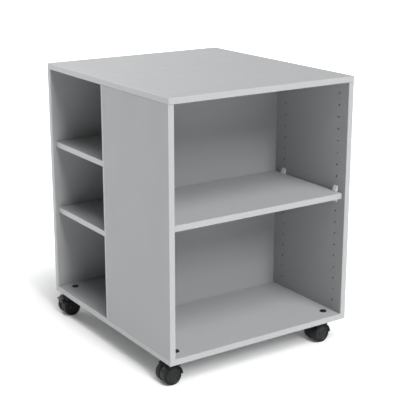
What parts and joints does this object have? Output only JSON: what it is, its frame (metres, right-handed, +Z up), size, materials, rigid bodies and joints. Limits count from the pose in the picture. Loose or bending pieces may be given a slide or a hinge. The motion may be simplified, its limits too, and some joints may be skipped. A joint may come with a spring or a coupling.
{
  "type": "mobile printer stand",
  "caption": "Grey board cabinet on casters with a plain top, an open front bay with a movable shelf, and a rear bay of shelves open to one side.",
  "frame": {"origin": "on the floor under the middle of the cabinet", "axes": "+Z up; the front bay opens to -Y; the rear bay opens to -X, where the side panel is short"},
  "size_m": [0.576, 0.632, 0.732],
  "materials": {
    "board": "light grey melamine facing, fine pearl, matt",
    "edge_strip": "light grey ABS strip, satin",
    "clear_plastic": "milky clear moulding",
    "zinc_steel": "bright zinc plated",
    "beech": "bare beech",
    "black_plastic": "black moulded nylon, satin",
    "wheel_tread": "black soft tread, matt"
  },
  "bodies": {
    "cabinet": {"top_panel": "board", "bottom_panel": "board", "left_side_panel": "board", "right_side_panel": "board", "divider_panel": "board", "back_panel": "board", "front_shelf": "board", "rear_lower_shelf": "board", "rear_upper_shelf": "board", "top_panel_edging": "edge_strip", "bottom_panel_edging": "edge_strip", "left_side_panel_edging": "edge_strip", "right_side_panel_edging": "edge_strip", "back_panel_edging": "edge_strip", "front_shelf_edging": "edge_strip", "rear_shelf_edging": "edge_strip", "front_shelf_supports": "clear_plastic", "rear_shelf_pins": "zinc_steel", "carcass_dowels": "beech", "carcass_screws": "zinc_steel", "caster_sockets": "zinc_steel", "caster_socket_caps": "black_plastic", "front_left_stem": "zinc_steel", "front_right_stem": "zinc_steel", "rear_left_stem": "zinc_steel", "rear_right_stem": "zinc_steel"},
    "front_left_caster": {"front_left_hood": "black_plastic", "front_left_axle": "zinc_steel"},
    "front_left_wheel_a": {"front_left_wheel_a_core": "black_plastic", "front_left_wheel_a_tread": "wheel_tread"},
    "front_left_wheel_b": {"front_left_wheel_b_core": "black_plastic", "front_left_wheel_b_tread": "wheel_tread"},
    "front_right_caster": {"front_right_hood": "black_plastic", "front_right_axle": "zinc_steel", "front_right_brake_pin": "zinc_steel"},
    "front_right_wheel_a": {"front_right_wheel_a_core": "black_plastic", "front_right_wheel_a_tread": "wheel_tread"},
    "front_right_wheel_b": {"front_right_wheel_b_core": "black_plastic", "front_right_wheel_b_tread": "wheel_tread"},
    "front_right_brake": {"front_right_brake_pedal": "black_plastic"},
    "rear_left_caster": {"rear_left_hood": "black_plastic", "rear_left_axle": "zinc_steel", "rear_left_brake_pin": "zinc_steel"},
    "rear_left_wheel_a": {"rear_left_wheel_a_core": "black_plastic", "rear_left_wheel_a_tread": "wheel_tread"},
    "rear_left_wheel_b": {"rear_left_wheel_b_core": "black_plastic", "rear_left_wheel_b_tread": "wheel_tread"},
    "rear_left_brake": {"rear_left_brake_pedal": "black_plastic"},
    "rear_right_caster": {"rear_right_hood": "black_plastic", "rear_right_axle": "zinc_steel"},
    "rear_right_wheel_a": {"rear_right_wheel_a_core": "black_plastic", "rear_right_wheel_a_tread": "wheel_tread"},
    "rear_right_wheel_b": {"rear_right_wheel_b_core": "black_plastic", "rear_right_wheel_b_tread": "wheel_tread"}
  },
  "joints": [
    {"name": "front_left_swivel", "type": "hinge", "parent": "cabinet", "child": "front_left_caster", "pos_m": [-0.24, -0.274, 0.046], "axis": [0, 0, 1], "continuous": true},
    {"name": "front_left_wheel_a_spin", "type": "hinge", "parent": "front_left_caster", "child": "front_left_wheel_a", "pos_m": [-0.262, -0.2894, 0.025], "axis": [0, 1, 0], "continuous": true},
    {"name": "front_left_wheel_b_spin", "type": "hinge", "parent": "front_left_caster", "child": "front_left_wheel_b", "pos_m": [-0.262, -0.2586, 0.025], "axis": [0, 1, 0], "continuous": true},
    {"name": "front_right_swivel", "type": "hinge", "parent": "cabinet", "child": "front_right_caster", "pos_m": [0.24, -0.274, 0.046], "axis": [0, 0, 1], "continuous": true},
    {"name": "front_right_wheel_a_spin", "type": "hinge", "parent": "front_right_caster", "child": "front_right_wheel_a", "pos_m": [0.218, -0.2894, 0.025], "axis": [0, 1, 0], "continuous": true},
    {"name": "front_right_wheel_b_spin", "type": "hinge", "parent": "front_right_caster", "child": "front_right_wheel_b", "pos_m": [0.218, -0.2586, 0.025], "axis": [0, 1, 0], "continuous": true},
    {"name": "front_right_brake_press", "type": "hinge", "parent": "front_right_caster", "child": "front_right_brake", "pos_m": [0.20157, -0.274, 0.05129], "axis": [0, -1, 0], "range_deg": [0, 15]},
    {"name": "rear_left_swivel", "type": "hinge", "parent": "cabinet", "child": "rear_left_caster", "pos_m": [-0.24, 0.274, 0.046], "axis": [0, 0, 1], "continuous": true},
    {"name": "rear_left_wheel_a_spin", "type": "hinge", "parent": "rear_left_caster", "child": "rear_left_wheel_a", "pos_m": [-0.262, 0.2586, 0.025], "axis": [0, 1, 0], "continuous": true},
    {"name": "rear_left_wheel_b_spin", "type": "hinge", "parent": "rear_left_caster", "child": "rear_left_wheel_b", "pos_m": [-0.262, 0.2894, 0.025], "axis": [0, 1, 0], "continuous": true},
    {"name": "rear_left_brake_press", "type": "hinge", "parent": "rear_left_caster", "child": "rear_left_brake", "pos_m": [-0.27843, 0.274, 0.05129], "axis": [0, -1, 0], "range_deg": [0, 15]},
    {"name": "rear_right_swivel", "type": "hinge", "parent": "cabinet", "child": "rear_right_caster", "pos_m": [0.24, 0.274, 0.046], "axis": [0, 0, 1], "continuous": true},
    {"name": "rear_right_wheel_a_spin", "type": "hinge", "parent": "rear_right_caster", "child": "rear_right_wheel_a", "pos_m": [0.218, 0.2586, 0.025], "axis": [0, 1, 0], "continuous": true},
    {"name": "rear_right_wheel_b_spin", "type": "hinge", "parent": "rear_right_caster", "child": "rear_right_wheel_b", "pos_m": [0.218, 0.2894, 0.025], "axis": [0, 1, 0], "continuous": true}
  ]
}
